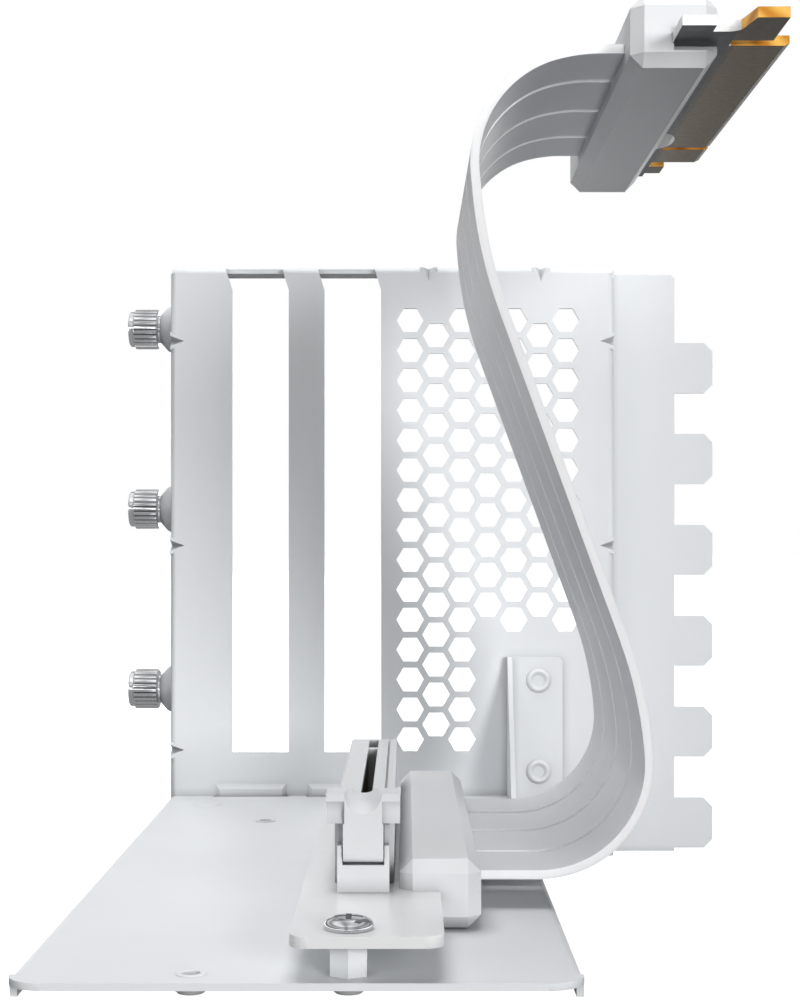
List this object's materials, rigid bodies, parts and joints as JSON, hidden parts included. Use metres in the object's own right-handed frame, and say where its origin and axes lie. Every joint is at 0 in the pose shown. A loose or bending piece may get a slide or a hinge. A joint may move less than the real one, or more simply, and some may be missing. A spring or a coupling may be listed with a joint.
{
  "type": "vertical gpu mount",
  "caption": "Folded steel bracket and base plate that hold a graphics card upright on a riser slot, with a flat ribbon cable leading up to a plug board.",
  "frame": {"origin": "centre of the card slot's mouth, on the slot's top face", "axes": "+Z leaves the slot as the card does, +Y runs along the slot to the rear bracket, +X points to the case flange"},
  "size_m": [0.1309, 0.1871, 0.1513],
  "materials": {
    "powder_coat": "satin white powder coat",
    "chrome": "bright nickel or chrome plate",
    "white_circuit_board": "white solder mask",
    "white_moulding": "satin white",
    "cable_jacket": "smooth pale grey jacket",
    "contact_metal": "gold flash",
    "gold_edged_board": "dark board with gold fingers and edges"
  },
  "bodies": {
    "mount_frame": {"rear_bracket": "powder_coat", "base_plate": "powder_coat", "gusset_rivets": "powder_coat", "flange_rivets": "powder_coat", "plate_inserts": "powder_coat", "standoff_front": "powder_coat", "standoff_rear": "powder_coat", "board_screw_front": "chrome", "board_screw_rear": "chrome", "riser_board": "white_circuit_board", "slot_housing": "white_moulding", "slot_contacts": "contact_metal", "lower_cover_top": "white_moulding", "lower_cover_bottom": "white_moulding", "ribbon_1": "cable_jacket", "ribbon_2": "cable_jacket", "ribbon_3": "cable_jacket", "ribbon_4": "cable_jacket", "upper_cover_top": "white_moulding", "upper_cover_bottom": "white_moulding", "edge_board": "gold_edged_board"},
    "latch": {"slot_latch": "white_moulding"},
    "thumb_screw_upper_body": {"thumb_screw_upper": "chrome"},
    "thumb_screw_middle_body": {"thumb_screw_middle": "chrome"},
    "thumb_screw_lower_body": {"thumb_screw_lower": "chrome"}
  },
  "joints": [
    {"name": "latch_tilt", "type": "hinge", "parent": "mount_frame", "child": "latch", "pos_m": [0, -0.0516, -0.0056], "axis": [1, 0, 0], "range_deg": [0, 25]},
    {"name": "thumb_screw_upper_turn", "type": "hinge", "parent": "mount_frame", "child": "thumb_screw_upper_body", "pos_m": [-0.04565, 0.0989, 0.0866], "axis": [1, 0, 0], "continuous": true},
    {"name": "thumb_screw_middle_turn", "type": "hinge", "parent": "mount_frame", "child": "thumb_screw_middle_body", "pos_m": [-0.04565, 0.0989, 0.04596], "axis": [1, 0, 0], "continuous": true},
    {"name": "thumb_screw_lower_turn", "type": "hinge", "parent": "mount_frame", "child": "thumb_screw_lower_body", "pos_m": [-0.04565, 0.0989, 0.00532], "axis": [1, 0, 0], "continuous": true}
  ]
}
